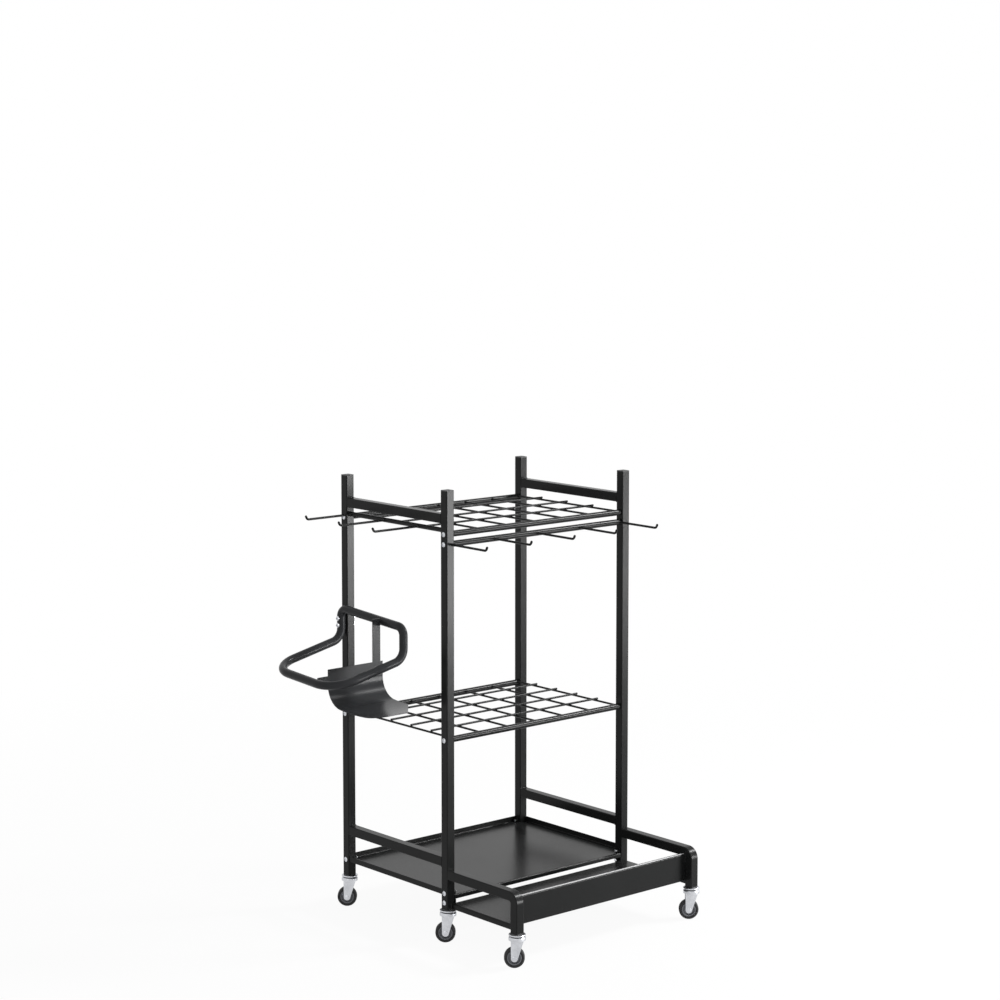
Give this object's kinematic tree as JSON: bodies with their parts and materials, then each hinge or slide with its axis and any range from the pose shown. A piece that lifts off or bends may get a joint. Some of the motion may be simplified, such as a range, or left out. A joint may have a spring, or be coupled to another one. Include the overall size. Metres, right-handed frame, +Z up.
{
  "type": "freestanding garden tool rack",
  "caption": "Freestanding steel garden tool rack on swivel casters, with upper and middle wire grids, hooks, rear shelf, front tray and side cradle.",
  "frame": {"origin": "on the floor under the middle of the rack's outer box", "axes": "+Z up, +X to the rack's right seen from the front tray, +Y from the front tray to the rear posts"},
  "size_m": [0.7224, 0.5916, 0.945],
  "materials": {
    "rack_coat": "satin",
    "cradle_coat": "satin",
    "zinc": "satin",
    "tyre": "matte",
    "hub_plastic": "matte",
    "black_plastic": "matte"
  },
  "bodies": {
    "rack": {"post_front_left": "rack_coat", "post_front_right": "rack_coat", "post_rear_left": "rack_coat", "post_rear_right": "rack_coat", "upper_bar_left": "rack_coat", "upper_bar_right": "rack_coat", "lower_bar_left": "rack_coat", "lower_bar_right": "rack_coat", "front_leg_left": "rack_coat", "front_leg_right": "rack_coat", "top_front_rail": "rack_coat", "top_back_rail": "rack_coat", "mid_front_rail": "rack_coat", "mid_back_rail": "rack_coat", "hook_rail": "rack_coat", "side_hook_rail": "rack_coat", "top_grid": "rack_coat", "mid_grid": "rack_coat", "front_hooks": "rack_coat", "side_hooks": "rack_coat", "rear_shelf": "rack_coat", "front_tray": "rack_coat", "front_panel": "rack_coat", "cradle_frame": "cradle_coat", "cradle_tray": "cradle_coat", "frame_bolts": "zinc", "cradle_nuts": "zinc", "post_caps": "black_plastic", "stem_sockets": "black_plastic", "swivel_washers": "black_plastic", "stem_front_left": "zinc", "stem_front_right": "zinc", "stem_rear_left": "zinc", "stem_rear_right": "zinc", "stem_leg_left": "zinc", "stem_leg_right": "zinc"},
    "swivel_front_left": {"fork_front_left": "zinc", "axle_front_left": "zinc"},
    "wheel_front_left": {"tyre_front_left": "tyre", "hub_front_left": "hub_plastic"},
    "swivel_front_right": {"fork_front_right": "zinc", "axle_front_right": "zinc"},
    "wheel_front_right": {"tyre_front_right": "tyre", "hub_front_right": "hub_plastic"},
    "swivel_rear_left": {"fork_rear_left": "zinc", "axle_rear_left": "zinc"},
    "wheel_rear_left": {"tyre_rear_left": "tyre", "hub_rear_left": "hub_plastic"},
    "swivel_rear_right": {"fork_rear_right": "zinc", "axle_rear_right": "zinc"},
    "wheel_rear_right": {"tyre_rear_right": "tyre", "hub_rear_right": "hub_plastic"},
    "swivel_leg_left": {"fork_leg_left": "zinc", "axle_leg_left": "zinc"},
    "wheel_leg_left": {"tyre_leg_left": "tyre", "hub_leg_left": "hub_plastic"},
    "swivel_leg_right": {"fork_leg_right": "zinc", "axle_leg_right": "zinc"},
    "wheel_leg_right": {"tyre_leg_right": "tyre", "hub_leg_right": "hub_plastic"}
  },
  "joints": [
    {"name": "swivel_front_left", "type": "hinge", "parent": "rack", "child": "swivel_front_left", "pos_m": [-0.15125, -0.06135, 0.06], "axis": [0, 0, 1], "continuous": true},
    {"name": "roll_front_left", "type": "hinge", "parent": "swivel_front_left", "child": "wheel_front_left", "pos_m": [-0.1554, -0.05774, 0.021], "axis": [0.6561, 0.7547, 0], "continuous": true},
    {"name": "swivel_front_right", "type": "hinge", "parent": "rack", "child": "swivel_front_right", "pos_m": [0.34375, -0.06135, 0.06], "axis": [0, 0, 1], "continuous": true},
    {"name": "roll_front_right", "type": "hinge", "parent": "swivel_front_right", "child": "wheel_front_right", "pos_m": [0.3396, -0.05774, 0.021], "axis": [0.6561, 0.7547, 0], "continuous": true},
    {"name": "swivel_rear_left", "type": "hinge", "parent": "rack", "child": "swivel_rear_left", "pos_m": [-0.15125, 0.27365, 0.06], "axis": [0, 0, 1], "continuous": true},
    {"name": "roll_rear_left", "type": "hinge", "parent": "swivel_rear_left", "child": "wheel_rear_left", "pos_m": [-0.1554, 0.27726, 0.021], "axis": [0.6561, 0.7547, 0], "continuous": true},
    {"name": "swivel_rear_right", "type": "hinge", "parent": "rack", "child": "swivel_rear_right", "pos_m": [0.34375, 0.27365, 0.06], "axis": [0, 0, 1], "continuous": true},
    {"name": "roll_rear_right", "type": "hinge", "parent": "swivel_rear_right", "child": "wheel_rear_right", "pos_m": [0.3396, 0.27726, 0.021], "axis": [0.6561, 0.7547, 0], "continuous": true},
    {"name": "swivel_leg_left", "type": "hinge", "parent": "rack", "child": "swivel_leg_left", "pos_m": [-0.15125, -0.27835, 0.06], "axis": [0, 0, 1], "continuous": true},
    {"name": "roll_leg_left", "type": "hinge", "parent": "swivel_leg_left", "child": "wheel_leg_left", "pos_m": [-0.1554, -0.27474, 0.021], "axis": [0.6561, 0.7547, 0], "continuous": true},
    {"name": "swivel_leg_right", "type": "hinge", "parent": "rack", "child": "swivel_leg_right", "pos_m": [0.34375, -0.27835, 0.06], "axis": [0, 0, 1], "continuous": true},
    {"name": "roll_leg_right", "type": "hinge", "parent": "swivel_leg_right", "child": "wheel_leg_right", "pos_m": [0.3396, -0.27474, 0.021], "axis": [0.6561, 0.7547, 0], "continuous": true}
  ]
}
